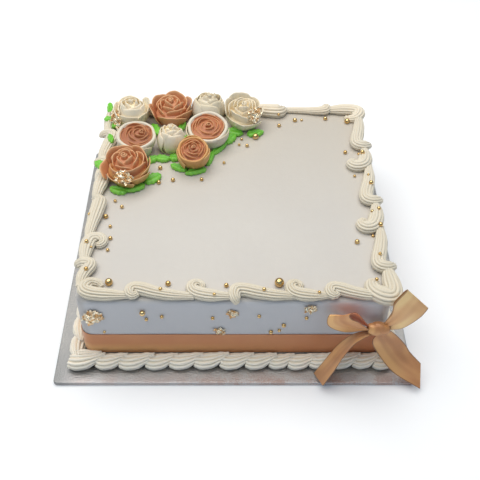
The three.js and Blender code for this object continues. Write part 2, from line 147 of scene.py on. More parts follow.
def curvePoint(points, i, k):
    # the place at share k of span i, on a smooth line through the points
    p1, p2 = points[i], points[i + 1]
    p0 = points[i - 1] if i else p1 * 2 - p2
    p3 = points[i + 2] if i + 2 < len(points) else p2 * 2 - p1
    return 0.5 * ((2 * p1) + (p2 - p0) * k + (2 * p0 - 5 * p1 + 4 * p2 - p3) * k * k
                  + (3 * p1 - p0 - 3 * p2 + p3) * k ** 3)


def smoothPath(points, count):
    # evenly spaced places on a smooth line through the points
    points = [Vector(p) for p in points]
    steps = 12
    dense = [curvePoint(points, i, k / steps) for i in range(len(points) - 1) for k in range(steps)]
    dense.append(points[-1])
    runs = [0.0]
    for a, b in zip(dense, dense[1:]):
        runs.append(runs[-1] + (b - a).length)
    out, j = [], 0
    for i in range(count):
        want = runs[-1] * i / (count - 1)
        while j + 2 < len(runs) and runs[j + 1] < want:
            j += 1
        span = max(runs[j + 1] - runs[j], 1e-9)
        out.append(dense[j].lerp(dense[j + 1], (want - runs[j]) / span))
    return out


def between(stops, t):
    # a value that runs smoothly through (place, value) stops
    for (a, va), (b, vb) in zip(stops, stops[1:]):
        if t <= b:
            k = (t - a) / (b - a) if b > a else 1
            k = max(0, min(1, k))
            return va + (vb - va) * k * k * (3 - 2 * k)
    return stops[-1][1]


def sideTurn(side):
    return Matrix.Rotation(side * pi / 2, 4, "Z")


def colour(r, g, b):
    # a colour as seen on a screen, 0 to 255, as light
    line = [c / 255 for c in (r, g, b)]
    line = [c / 12.92 if c <= 0.04045 else ((c + 0.055) / 1.055) ** 2.4 for c in line]
    return (*line, 1.0)


class Value:
    # a shader socket that takes part in plain sums
    def __init__(self, look, socket):
        self.look = look
        self.socket = socket

    def sum(self, operation, a, b):
        return self.look.node("ShaderNodeMath", {"operation": operation}, {0: a, 1: b})

    def __add__(self, other):
        return self.sum("ADD", self, other)

    def __sub__(self, other):
        return self.sum("SUBTRACT", self, other)

    def __mul__(self, other):
        return self.sum("MULTIPLY", self, other)

    def __abs__(self):
        return self.sum("ABSOLUTE", self, 0.0)


class Look:
    def __init__(self, name, **surface):
        self.material = bpy.data.materials.new(name)
        self.material.use_nodes = True
        self.tree = self.material.node_tree
        self.shader = self.tree.nodes["Principled BSDF"]
        self.coord = self.tree.nodes.new("ShaderNodeTexCoord")
        self.place = Value(self, self.coord.outputs["Object"])
        for key, value in surface.items():
            self.shader.inputs[key].default_value = value

    def node(self, kind, settings=None, inputs=None, output=0):
        made = self.tree.nodes.new(kind)
        for key, value in (settings or {}).items():
            setattr(made, key, value)
        for key, value in (inputs or {}).items():
            if isinstance(value, Value):
                self.tree.links.new(value.socket, made.inputs[key])
            else:
                made.inputs[key].default_value = value
        return Value(self, made.outputs[output])

    def axis(self, number):
        # X, Y or Z of the place on the piece, as 0, 1 or 2
        return self.node("ShaderNodeSeparateXYZ", {}, {0: self.place}, number)

    def noise(self, scale, detail=3, rough=0.5, place=None):
        return self.node("ShaderNodeTexNoise", {}, {
            "Vector": place or self.place, "Scale": scale, "Detail": detail, "Roughness": rough})

    def spread(self, value, low, high, toLow=0.0, toHigh=1.0):
        return self.node("ShaderNodeMapRange", {}, {0: value, 1: low, 2: high, 3: toLow, 4: toHigh})

    def mix(self, factor, a, b):
        # a and b are sockets, or colours as seen on a screen
        a, b = (tone if isinstance(tone, Value) else colour(*tone) for tone in (a, b))
        return self.node("ShaderNodeMix", {"data_type": "RGBA"}, {0: factor, 6: a, 7: b}, 2)

    def attribute(self, name):
        return self.node("ShaderNodeAttribute", {"attribute_name": name}, output="Fac")

    def finish(self, color, roughness=None, metallic=None, height=None, depth=0.001):
        # joins what was made to the surface; depth is that of the bumps, in metres
        normal = height and self.node(
            "ShaderNodeBump", {}, {"Strength": 1.0, "Distance": depth, "Height": height})
        for name, value in (("Base Color", color), ("Roughness", roughness),
                            ("Metallic", metallic), ("Normal", normal)):
            if isinstance(value, Value):
                self.tree.links.new(value.socket, self.shader.inputs[name])
            elif value is not None:
                self.shader.inputs[name].default_value = value
        return self.material


cameraView = {"place": (-4.5, -600, 640), "down": 45.8, "lens": 57.15, "shift": 11 / 480}


def makeCamera():
    camera = added(bpy.ops.object.camera_add, location=[c * mm for c in cameraView["place"]],
                   rotation=(radians(90 - cameraView["down"]), 0, 0))
    camera.data.lens = cameraView["lens"]
    camera.data.sensor_width = 36
    camera.data.shift_x = cameraView["shift"]
    camera.data.clip_start = 0.01
    camera.data.clip_end = 20
    bpy.context.scene.camera = camera


# each softbox: where it stands, what it looks at, its size in metres, its power and tint
softboxes = {
    "overhead": {"place": (-0.2, 0.25, 1.7), "aim": (0, 0.02, 0.05), "size": (2.4, 2.0),
                 "power": 41.5, "tint": (1, 0.955, 0.895)},
    "frontFill": {"place": (0.5, -1.9, 0.8), "aim": (0, 0, 0.05), "size": (1.4, 1.0),
                  "power": 1.6, "tint": (0.08, 0.34, 0.8)},
    "leftFill": {"place": (-1.7, -0.1, 0.8), "aim": (0, 0, 0.05), "size": (1.0, 1.0),
                 "power": 0.7, "tint": (1, 0.98, 0.95)},
}
# the light of the air round it all, and the floor, whose greys run from dull to pale
room = {"air": (0.6, 0.79, 1.0, 1), "glow": 0.34, "floor": 8, "under": -0.0002,
        "dull": (249.31, 249.31, 249.31), "pale": (252.74, 252.74, 252.74)}


def makeLights():
    for name, box in softboxes.items():
        light = added(bpy.ops.object.light_add, type="AREA", location=box["place"])
        light.name = name
        light.data.shape = "RECTANGLE"
        light.data.size, light.data.size_y = box["size"]
        light.data.energy = box["power"]
        light.data.color = box["tint"]
        aim = Vector(box["aim"]) - Vector(box["place"])
        light.rotation_euler = aim.to_track_quat("-Z", "Y").to_euler()
    world = bpy.data.worlds.new("studio")
    world.use_nodes = True
    world.node_tree.nodes["Background"].inputs["Color"].default_value = room["air"]
    world.node_tree.nodes["Background"].inputs["Strength"].default_value = room["glow"]
    bpy.context.scene.world = world
    bpy.context.scene.view_settings.view_transform = "Standard"
    bpy.context.scene.view_settings.look = "None"


def makeFloor():
    floor = added(bpy.ops.mesh.primitive_plane_add, size=room["floor"],
                  location=(0, 0, room["under"]))
    floor.name = "floor"
    look = Look("pale floor", Roughness=0.8)
    grain = look.spread(look.noise(30), 0.3, 0.7, 0.99, 1.0)
    floor.data.materials.append(look.finish(look.mix(grain, room["dull"], room["pale"])))


# How deep light goes into the icing, in metres, and its shares for red, green and blue
softness = {"Subsurface Scale": 0.004, "Subsurface Radius": (1.0, 0.9, 0.8)}
# Tints of the smooth icing by place, each with the places, in metres from the middle of the
# cake, between which it comes in: the top darker and warmer towards the back; painted shade on
# the front face, cool and grey, and on its two rounded front corners, toning down the light they
# catch
icingTintsAndPaintedShade = {"back": ((194, 185, 171), -0.05, 0.15), "front": ((196, 194, 194), -0.146, -0.1485),
              "corner": ((172, 169, 167), 0.138, 0.145)}


def icingLook(name, base, shade, bumpDepth=0.0001, roughness=0.4, scale=320, glow=0.25, tints=None):
    look = Look(name, **softness, **{
        "Roughness": roughness, "Subsurface Weight": glow, "Specular IOR Level": 0.45})
    fine = look.noise(scale, 4, 0.6)
    tone = look.mix(look.spread(look.noise(9, 4), 0.35, 0.7), base, shade)
    # painted shade on the front face and its two front corners; the top also darker and warmer
    # towards the back
    if tints:
        side, ahead = look.axis(0), look.axis(1)
        for place in ("back", "front"):
            tint, start, end = tints[place]
            tone = look.mix(look.spread(ahead, start, end), tone, tint)
        tint, start, end = tints["corner"]
        corner = look.spread(ahead, -start, -end) * look.spread(abs(side), start, end)
        tone = look.mix(corner, tone, tint)
    return look.finish(
        tone, look.spread(fine, 0.3, 0.7, roughness - 0.06, roughness + 0.08),
        height=fine + look.noise(24, 3) * 2, depth=bumpDepth)


def satinLook(name, base, dark, bright, selvedge=0.9, sheen=None, inner=None):
    # satin: fine threads along the ribbon, painted shade and highlights of soft folds that run with
    # it, painted shade near the knot, a darker selvedge
    look = Look(name, **{"Roughness": 0.36, "Sheen Weight": 0.2, "Sheen Roughness": 0.4,
                         "Specular IOR Level": 0.6})
    rimTone = [c * 0.72 for c in dark]
    across = look.attribute("across")
    along = look.attribute("along")
    threads = look.noise(900, 2, 0.5, look.node(
        "ShaderNodeCombineXYZ", {}, {0: across, 1: along * 0.02}))
    tone = look.mix(look.spread(look.noise(30, 3), 0.3, 0.7, 0, 0.4), base, dark)
    tone = look.mix(look.spread(threads, 0.4, 0.75, 0, 0.25), tone, bright)
    if sheen:     # painted highlight: a satin sheen along the lower edge of the band, and its fade towards one end
        side, place = look.axis(0), look.axis(2)
        low = look.spread(place, 0.031, 0.024) * look.spread(place, 0.017, 0.0205, 0.2, 1)
        glow = low * look.spread(side + look.noise(16, 2) * 0.12, 0.14, -0.12)
        tone = look.mix(glow, tone, sheen)
        # painted shade: the band darker towards its right end, in the shade under the bow
        tone = look.mix(look.spread(side, 0.02, 0.13, 0, 0.6), tone, dark)
    else:
        # painted shade and highlight: soft folds darker in their hollows and lighter on their
        # crests; then the ribbon darker near the knot
        foldShade = look.noise(2.6, 1, 0.4, look.node("ShaderNodeCombineXYZ", {}, {
            0: across * 0.9, 1: along * 0.7, 2: look.noise(9, 1) * 0.3}))
        tone = look.mix(look.spread(foldShade, 0.5, 0.3, 0, 0.5), tone, dark)
        tone = look.mix(look.spread(foldShade, 0.5, 0.7, 0, 0.6), tone, bright)
        tone = look.mix(look.spread(along, 0.16, 0.02, 0, 0.6), tone, dark)
    if inner:     # painted light: the shaded inside layer that shows in the loop's mouth, brightened and reddened
        tone = look.mix(look.spread(along, 0.46, 0.4, 0, 0.9), tone, inner)
    tone = look.mix(look.spread(abs(across - 0.5), 0.455, 0.495, 0, selvedge), tone, rimTone)
    return look.finish(tone, look.spread(threads, 0.3, 0.7, 0.3, 0.42), 0.15, threads, 0.00004)


def petalLook(name, base, deep, rim, metallic, glow=0.04):
    look = Look(name, **softness, **{"Roughness": 0.45, "Subsurface Weight": glow})
    grain = look.noise(240, 4, 0.6)
    height = look.attribute("height")
    edge = look.attribute("edge")
    # painted shade in the depths between the petals; on the ivory petals the depth tone is lighter
    # and yellower, painted light
    tone = look.mix(look.spread(height, 0.3, 0.95), deep, base)
    # lighter rims: partly the petals' own golden edge, partly a painted highlight
    rimShare = look.spread(edge + grain * 0.3 - 0.15, 0.3, 1.0, 0, 0.75)
    return look.finish(look.mix(rimShare, tone, rim),
                       look.spread(grain, 0.3, 0.7, 0.38, 0.52), metallic, grain, 0.00012)


def leafLook():
    look = Look("leaf icing", **{
        "Roughness": 0.42, "Subsurface Weight": 0.1, "Subsurface Scale": 0.002})
    grain = look.noise(420, 4, 0.6)
    patch = look.spread(look.noise(70, 3), 0.35, 0.65)
    tone = look.mix(patch, (122, 202, 62), (102, 182, 52))
    # painted highlight: the leaf lighter towards its sides, beside the darker groove
    edge = look.spread(look.attribute("edge"), 0.2, 1, 0, 0.5)
    return look.finish(look.mix(edge, tone, (152, 220, 92)),
                       look.spread(grain, 0.3, 0.7, 0.34, 0.5), height=grain, depth=0.0003)


def goldLook(name, base, dark, roughness, bump, metallic=1.0, patches=500):
    look = Look(name, Roughness=roughness)
    patch = look.spread(look.noise(patches, 3), 0.4, 0.6)
    return look.finish(look.mix(patch, base, dark),
                       look.spread(patch, 0, 1, roughness, roughness + 0.12),
                       metallic, look.noise(900, 2), bump)


def foilLook():
    # embossed foil: rows of small raised scales pressed into the silver
    look = Look("embossed foil", Metallic=1.0, Roughness=0.3)
    cells = look.node("ShaderNodeTexVoronoi", {"feature": "SMOOTH_F1"},
                      {"Vector": look.place, "Scale": 620, "Smoothness": 0.7})
    cloud = look.spread(look.noise(38, 5, 0.65), 0.35, 0.68)
    side, ahead = look.axis(0), look.axis(1)
    corner = look.spread(ahead, -0.1, -0.178) * look.spread(side, -0.1, -0.15)
    warm = look.spread(ahead, -0.158, -0.174) * look.spread(side, -0.172, -0.145)
    speck = look.spread(look.noise(700, 3, 0.75) + look.noise(55, 2) * 0.9, 0.84, 1.0)
    # near the front edge: a lighter grey with brownish-pink specks
    speckTone = look.mix(look.spread(side, -0.07, 0.01), (182, 173, 171), (175, 156, 149))
    tone = look.mix(cloud, (172, 170, 167), (184, 180, 175))
    tone = look.mix(corner, tone, (146, 146, 145))     # painted reflection: this front left corner darkened as though it mirrored a dark room
    tone = look.mix(warm, tone, (185, 183, 183))
    tone = look.mix(warm * speck, tone, speckTone)
    return look.finish(tone, look.spread(cells, 0, 0.6, 0.4, 0.5), 0.9, cells, 0.0003)


# Colours are as seen on a screen. Icing: its two tones. Satin: base, dark, bright. Petals: base,
# the tone painted in the depth between them (painted shade; on ivory, painted light), their rims,
# how metallic. Gold: its two tones, roughness, bump
finishes = {
    "smoothIcing": icingLook("smooth icing", (202, 196, 187), (198, 192, 184),
                             0.0002, 0.42, 160, 0.12, icingTintsAndPaintedShade),
    "pipedIcing": icingLook("piped icing", (220, 210, 190), (213, 202, 180)),
    # lighter copies of the piped icing: painted light on the shaded sides of the back border and of
    # the shells; the back's is also creamier
    "litBackIcing": icingLook("back border icing with painted light", (230, 218, 196), (224, 210, 186)),
    "litShellIcing": icingLook("shell icing with painted light", (246, 236, 218), (238, 228, 209)),
    "bandSatin": satinLook("copper satin band", (200, 134, 86), (188, 112, 68), (214, 148, 98),
                           0, sheen=(224, 172, 112)),
    # The bow's pieces are one gold satin, each in its own lighter or darker copy: painted light and
    # shade, lightest on the right loop
    "bowSatin": satinLook("gold satin bow", (234, 182, 124), (196, 132, 84), (255, 222, 156)),
    "tailSatin": satinLook("gold satin tail", (202, 140, 90), (160, 102, 62), (234, 180, 114)),
    "dullSatin": satinLook("gold satin left tail", (204, 150, 106), (166, 114, 78),
                           (230, 182, 124)),
    "loopSatin": satinLook("gold satin loop", (214, 152, 98), (176, 108, 64), (244, 196, 128),
                           inner=(240, 140, 92)),
    "bronzePetal": petalLook("bronze petal", (214, 153, 109), (206, 143, 103),
                             (236, 188, 140), 0.05),
    "umberPetal": petalLook("umber petal", (194, 127, 86), (180, 112, 73), (220, 162, 112), 0.05),
    # painted shade: a darker copy of the umber petal for the drum shaded by its neighbours
    "shadedUmberPetal": petalLook("umber petal in painted shade", (178, 114, 76), (164, 100, 64),
                           (206, 148, 102), 0.05),
    "goldCup": petalLook("golden bronze petal", (215, 167, 103), (205, 153, 93),
                         (232, 188, 126), 0.1),
    "ivoryPetal": petalLook("ivory petal", (240, 230, 210), (252, 234, 195),
                            (248, 230, 198), 0.0, 0.2),
    "drumIvory": petalLook("ivory drum petal", (224, 213, 193), (222, 211, 190),
                           (238, 220, 184), 0.0, 0.2),
    "leaf": leafLook(),
    "pearl": goldLook("gold pearl", (236, 204, 148), (214, 172, 108), 0.14, 0.00002),
    "goldLeaf": goldLook("gold leaf", (255, 246, 220), (216, 168, 110), 0.22, 0.0004, 0.75, 260),
    "foil": foilLook(),
}
print("finishes made")


def roundEdges(block, radius, segments, chosen):
    # rounds the edges whose two ends, at heights a and b, are chosen
    setMode("EDIT")
    bpy.ops.mesh.select_mode(type="EDGE")
    bpy.ops.mesh.select_all(action="DESELECT")
    setMode("OBJECT")
    for edge in block.data.edges:
        a, b = (block.data.vertices[i].co.z for i in edge.vertices)
        edge.select = chosen(a, b)
    setMode("EDIT")
    bpy.ops.mesh.bevel(offset=radius * mm, segments=segments, affect="EDGES")
    setMode("OBJECT")


def roundedBlock(name, side, corner, low, high, rims):
    # a cube at its size and place, its upright edges rounded first, then its rims
    block = added(bpy.ops.mesh.primitive_cube_add, size=1, location=(0, 0, (low + high) / 2 * mm))
    block.scale = (side * mm, side * mm, (high - low) * mm)
    bpy.ops.object.transform_apply()
    roundEdges(block, corner, 10, lambda a, b: abs(a - b) > 0.001)
    for z, radius, segments in rims:
        roundEdges(block, radius, segments,
                   lambda a, b: max(abs(a - z * mm), abs(b - z * mm)) < 1e-5)
    block.name = name
    return block


def makeBoard():
    block = roundedBlock("board", board["side"], board["corner"], 0, board["thick"],
                         [(board["thick"], board["rim"], 4), (0, board["foot"], 3)])
    finishPiece(block, "cake_board", "foil", ["board"], angle=35)


def makeCake():
    block = roundedBlock("cake", cake["side"], cake["corner"], cake["low"], cake["top"],
                         [(cake["top"], cake["edge"], 8)])
    addModifier(block, "REMESH", mode="VOXEL", voxel_size=cake["voxel"] * mm)
    # the icing was spread by hand, so its faces are a little uneven
    for v in block.data.vertices:
        x, y, z = v.co
        flat = sin(31 * x + 2) * sin(27 * y + 1) + 0.6 * sin(70 * x + 40 * y)
        wall = sin(38 * (x + y) + 9 * z) + 0.5 * sin(90 * z + 25 * x)
        if z > (cake["top"] - 1) * mm:
            v.co.z += cake["topRipple"] * flat * mm
        elif z > 0.01:
            v.co += Vector((x, y, 0)).normalized() * (cake["wallRipple"] * wall * mm)
    finishPiece(block, "cake_icing", "smoothIcing", ["iced_cake"])


grooveAngle = 62     # where piped icing turns more sharply than this, the edge shows


# The icing tip is a star: round ridges with sharp grooves between them
def makeTip(name, teeth, depth, squash=1.0, points=6):
    data = bpy.data.curves.new(name, "CURVE")
    spline = data.splines.new("POLY")
    spline.points.add(teeth * points - 1)
    for i in range(teeth * points):
        angle = turn * i / (teeth * points)
        reach = 1 - depth * (1 - abs(cos(teeth * angle / 2)) ** 0.8)
        spline.points[i].co = (reach * cos(angle), squash * reach * sin(angle), 0, 1)
    spline.use_cyclic_u = True
    tip = bpy.data.objects.new(name, data)
    bpy.context.scene.collection.objects.link(tip)
    return tip


def pipeAll(name, strokes, tip):
    # strokes: lists of (place, radius) in millimetres, each piped through the tip
    data = bpy.data.curves.new(name, "CURVE")
    data.dimensions = "3D"
    data.twist_mode = "Z_UP"
    data.bevel_mode = "OBJECT"
    data.bevel_object = tip
    data.use_fill_caps = True
    for stroke in strokes:
        spline = data.splines.new("POLY")
        spline.points.add(len(stroke) - 1)
        for point, (place, radius) in zip(spline.points, stroke):
            point.co = (*[c * mm for c in place], 1)
            point.radius = radius * mm
    piped = bpy.data.objects.new(name, data)
    bpy.context.scene.collection.objects.link(piped)
    pick(piped)
    bpy.ops.object.convert(target="MESH")
    return bpy.context.active_object


# Each stroke of the top border: its line along the front (s along, o out from the face,
# z above the top), and its swell from head to tail
scrolls = {
    "corner": {
        "line": [(-22, -17, 1.5), (-26, -21, 2), (-33, -21, 3), (-37.5, -14, 4), (-34, -8.5, 4.4),
                 (-21, -5.8, 4.2), (6, -5, 3.4)],
        "swell": [(0, 2.6), (0.1, 5), (0.3, 7.4), (0.6, 6.8), (1, 3.6)]},
    "bend": {
        "line": [(-12, -14.5, 4.4), (-16, -19.5, 4.4), (-23, -19, 4.4), (-29, -12.5, 4.6),
                 (-30, -5, 4.6), (-23, -2.4, 4.6), (-11, -3.4, 4.2), (12, -5, 3.4)],
        "swell": [(0, 3.6), (0.1, 6.2), (0.3, 7.6), (0.6, 7.2), (1, 3.6)]},
    "inward": {
        "line": [(9, -13.5, 2.6), (10.5, -17, 2.8), (6.5, -19, 3), (2.4, -15, 3.6), (4.2, -9, 4.2),
                 (12, -5.8, 4.2), (25, -4.4, 4), (42, -5, 3.2)],
        "swell": [(0, 2.8), (0.08, 5), (0.22, 6.6), (0.55, 6.8), (1, 3.4)]},
    "swirl": {
        "line": [(9.5, -8.5, 5.4), (10, -5.5, 5), (6.5, -4.5, 4.8), (4.6, -9, 4.8), (7.5, -13, 4.8),
                 (15, -12, 4.8), (27, -8.4, 4.4), (44, -5.2, 4), (64, -4.4, 3.2)],
        "swell": [(0, 2.5), (0.06, 4.6), (0.16, 6.4), (0.35, 7), (0.6, 6.2), (1, 3.8)]},
    "drop": {
        "line": [(7, 1.6, 1), (6, 0.6, 3.4), (4.8, -4.5, 4.8), (7.4, -10.5, 4.8), (15, -11, 4.6),
                 (28, -7.8, 4.4), (44, -5, 4), (63, -4.4, 3.2)],
        "swell": [(0, 3.6), (0.08, 5.6), (0.2, 7.2), (0.45, 7), (0.65, 6.2), (1, 3.8)]},
    "plain": {
        "line": [(4, -2, 2), (2.5, -6, 3.6), (7, -9.4, 4.8), (17, -9, 4.8), (31, -7.2, 4.4),
                 (47, -5.4, 3.8), (63, -4.6, 3)],
        "swell": [(0, 3.6), (0.08, 6), (0.2, 8), (0.45, 7.6), (0.7, 6), (1, 3.6)]},
    "slim": {
        "line": [(7, 2, 1), (6, 1.4, 3), (4.8, -2.5, 4.6), (7.4, -7, 4.6), (15, -7.4, 4),
                 (28, -6, 3), (44, -5, 2.6), (63, -4.8, 2.4)],
        "swell": [(0, 3.6), (0.08, 5.4), (0.17, 6.8), (0.32, 5.6), (0.55, 4.6), (1, 3.8)]},
    "knob": {
        "line": [(8, 3.6, 2.6), (6, 1.6, 4), (4.8, -4, 4.8), (7.4, -9.5, 4.8), (15, -10, 4.6),
                 (28, -7.4, 4.4), (44, -5, 4), (63, -4.4, 3.2)],
        "swell": [(0, 5.2), (0.08, 6.6), (0.2, 7.5), (0.45, 7.4), (0.65, 6.6), (1, 4.2)]},
}
# how far the tails of each side's strokes swing out past the face of the cake
tailSwing = {"front": 0, "right": 3.6, "back": 0, "left": 0.6}
ridgeDepth = {"front": 0.24, "right": 0.16, "back": 0.15, "left": 0.17}
runs = {
    "front": [("corner", -102, 1), ("swirl", -101, 1), ("inward", -41, 1), ("drop", -4, 0.98),
              ("inward", 52, 0.93), ("swirl", 86, 0.9)],
    "right": [("bend", -116, 1, 1.25), ("knob", -114, 0.96), ("inward", -57, 1, 1.2),
              ("knob", -21, 1), ("inward", 39, 0.8, 1.2), ("knob", 70, 1)],
    "back": [("corner", -111, 1, 1.12), ("slim", -116, 0.96), ("plain", -60, 0.8, 1.2),
             ("swirl", -24, 1), ("drop", 33, 0.7), ("drop", 72, 0.9)],
    "left": [("corner", -102, 1), ("drop", -101, 0.9), ("drop", -50, 0.6), ("plain", -23, 0.6),
             ("plain", 10, 1), ("inward", 68, 0.94, 1.1), ("drop", 102, 0.5)],
}


def makeTopBorder():
    rng = random.Random(11)
    steps = 45
    for side, name in enumerate(sideNames):
        tip = makeTip("scroll tip", 12, ridgeDepth[name], 0.8)
        strokes = []
        for kind, start, drawn, *fat in runs[name]:
            spec = scrolls[kind]
            line = [(start + s * drawn, -half - o, icingTop + z) for s, o, z in spec["line"]]
            fatter = fat[0] if fat else 1
            wobble = rng.uniform(-0.6, 0.6)
            stroke = []
            for i, p in enumerate(smoothPath(line, steps + 1)):
                t = i / steps
                swing = Vector((0, wobble * sin(5 * t) - tailSwing[name] * t, 0))
                stroke.append((sideTurn(side) @ (p + swing), fatter * between(spec["swell"], t)))
            strokes.append(stroke)
        piped = pipeAll(f"scrolls {name}", strokes, tip)
        finish = "litBackIcing" if name == "back" else "pipedIcing"
        finishPiece(piped, f"piped_scrolls_{name}", finish, [f"top_border_{name}"],
                    angle=grooveAngle)
        bpy.data.objects.remove(tip)


# The foot border is rows of shells: how far each reaches out, its height, and how its
# width and centre change from head to tail
shell = {
    "line": [(-2.4, 6.2, 7.2), (2, 7.4, 6.8), (8, 7.6, 7.4), (15, 6.6, 9), (22, 5, 11),
             (29, 3.4, 12.8)],
    "swell": [(0, 6.9), (0.04, 7.5), (0.16, 8.3), (0.4, 7.9), (0.7, 5.6), (1, 2.6)],
    "frontStarts": [-160, -132.5, -109, -83, -59, -34.5, -9, 16, 39, 58, 79.5, 100.5, 122.5, 142.5,
                    162],
    "pitch": 24, "count": 13, "rings": 26, "teeth": 10, "toothPoints": 6, "ragged": 2.6,
    "wall": 1, "low": 4.2,
    "past": 8,     # how far the left run goes on to close the front corner
    # one more shell, pressed into the front left corner
    "cornerLine": [(-159, 0.5, 8.5), (-153, 1.6, 10), (-146, 2.4, 11.5), (-138, 2.6, 13),
                   (-131, 2.2, 15)],
    "cornerFat": 0.72,
}


def raggedEnds(mesh, back, rng):
    # where a shell starts, each of its ridges begins at its own place, as the tip's teeth tear it
    around = shell["teeth"] * shell["toothPoints"]
    count = len(mesh.vertices) // (around * shell["rings"])
    torn = [[rng.uniform(0, shell["ragged"]) for _ in range(shell["teeth"])] for _ in range(count)]
    for n in range(count * around * shell["rings"]):
        ring, point = n // around, n % around
        near = 1 - (ring % shell["rings"]) / 6
        if near > 0:
            ridge = abs(cos(pi * point / shell["toothPoints"]))
            tooth = round(point / shell["toothPoints"]) % shell["teeth"]
            mesh.vertices[n].co += back * (torn[ring // shell["rings"]][tooth] * ridge * near * mm)


def shellStroke(side, line, fat):
    # the places of one shell, turned to its side of the cake, and its radii
    last = shell["rings"] - 1
    return [(sideTurn(side) @ p, between(shell["swell"], i / last) * fat)
            for i, p in enumerate(smoothPath(line, last + 1))]


def makeFootBorder():
    rng = random.Random(5)
    tip = makeTip("shell tip", shell["teeth"], 0.34, 1.0, shell["toothPoints"])
    wall, low = -half - shell["wall"], shell["low"]
    for side, name in enumerate(sideNames):
        starts = shell["frontStarts"]
        if side % 2:
            reach = half - 1
            whole = 2 * reach + (shell["past"] if name == "left" else 0)
            starts = [-reach + whole * i / shell["count"] for i in range(shell["count"] + 1)]
        strokes = []
        for a, b in zip(starts, starts[1:]):
            drawn = (b - a) / shell["pitch"]
            scale = drawn * 0.3 + 0.7
            lift = rng.uniform(-0.5, 0.7)
            out = rng.uniform(-0.4, 0.6)
            line = [(a + s * drawn, wall - (o + out) * scale, low + (z + lift) * scale)
                    for s, o, z in shell["line"]]
            strokes.append(shellStroke(side, line, scale))
        if name == "front":
            line = [(s, wall - o, low + z) for s, o, z in shell["cornerLine"]]
            strokes.append(shellStroke(side, line, shell["cornerFat"]))
        piped = pipeAll(f"shells {name}", strokes, tip)
        raggedEnds(piped.data, sideTurn(side) @ Vector((-1, 0, 0)), random.Random(8 + side))
        finishPiece(piped, f"piped_shells_{name}", "litShellIcing",
                    [f"foot_border_{name}"], angle=grooveAngle)
    bpy.data.objects.remove(tip)


roses = {
    "rose_back_left": {
        "at": (-117, 123), "radius": 22, "high": 31, "kind": "tulip", "turn": 0.4,
        "tilt": (5, 100), "slot": "ivory_icing", "finish": ("ivoryPetal", "ivoryPetal"),
        "outer": [(262, 66, 0.6, 0.8, 0.08), (338, 44, 0.7, 0.86, 0.1), (20, 44, 0.8, 0.9, 0.06),
                  (105, 60, 0.86, 0.8, 0.08), (185, 46, 0.78, 0.86, 0.08)]},
    "rose_back_bronze": {
        "at": (-71, 127), "radius": 24.5, "high": 30, "kind": "open", "turn": 1.9,
        "tilt": (4, 90), "slot": "bronze_icing", "finish": ("bronzePetal", "bronzePetal"),
        "outer": [(268, 52, 0.6, 0.8, 0.12), (318, 38, 0.7, 0.86, 0.1), (8, 44, 0.86, 0.86, 0.1),
                  (70, 46, 0.9, 0.8, 0.1), (140, 40, 0.92, 0.78, 0.12),
                  (196, 30, 0.84, 0.92, 0.14)]},
    "rose_back_ivory": {
        "at": (-30, 130), "radius": 19.5, "high": 33, "kind": "bud", "turn": 3.1,
        "tilt": (10, 60), "slot": "ivory_icing", "finish": ("drumIvory", "drumIvory")},
    "rose_right_ivory": {
        "at": (11, 122), "radius": 22.5, "high": 32, "kind": "open", "turn": 4.4,
        "tilt": (6, 300), "slot": "ivory_icing", "finish": ("ivoryPetal", "ivoryPetal"),
        "outer": [(232, 46, 0.6, 0.8, 0.12), (290, 50, 0.56, 0.88, 0.14),
                  (345, 42, 0.7, 0.86, 0.12), (40, 46, 0.86, 0.8, 0.1),
                  (105, 44, 0.98, 0.72, 0.12), (165, 42, 0.86, 0.84, 0.12)]},
    "rose_two_tone_right": {
        "at": (-28.5, 91), "radius": 23.5, "high": 28, "kind": "drum", "turn": 0.9, "eye": (1, 0),
        "tilt": (12, 270), "slot": "two_tone_icing", "finish": ("drumIvory", "umberPetal")},
    "rose_two_tone_left": {
        "at": (-108.5, 75), "radius": 22.5, "high": 27, "kind": "drum", "turn": 2.6, "eye": (6, 2),
        "tilt": (8, 290), "slot": "two_tone_icing", "finish": ("drumIvory", "shadedUmberPetal")},
    "rose_ivory_bud": {
        "at": (-69.5, 74), "radius": 15.5, "high": 31, "kind": "bud", "turn": 5.1,
        "tilt": (6, 90), "slot": "ivory_icing", "finish": ("ivoryPetal", "ivoryPetal")},
    "rose_front_bronze": {
        "at": (-112.5, 26), "radius": 27, "high": 33, "kind": "open", "turn": 3.7, "eye": (-2, 2),
        "tilt": (5, 240), "slot": "bronze_icing", "finish": ("goldCup", "bronzePetal"),
        "outer": [(242, 50, 0.52, 0.82, 0.12), (300, 46, 0.56, 0.82, 0.12),
                  (350, 40, 0.66, 0.86, 0.1), (45, 46, 0.78, 0.82, 0.08),
                  (118, 44, 0.88, 0.8, 0.1), (180, 34, 0.66, 0.88, 0.14)]},
    "rose_small_bronze": {
        "at": (-43.5, 52), "radius": 17.5, "high": 30, "kind": "drum", "turn": 1.2, "eye": (1, 1),
        "tilt": (18, 270), "slot": "bronze_icing", "finish": ("goldCup", "umberPetal")},
}
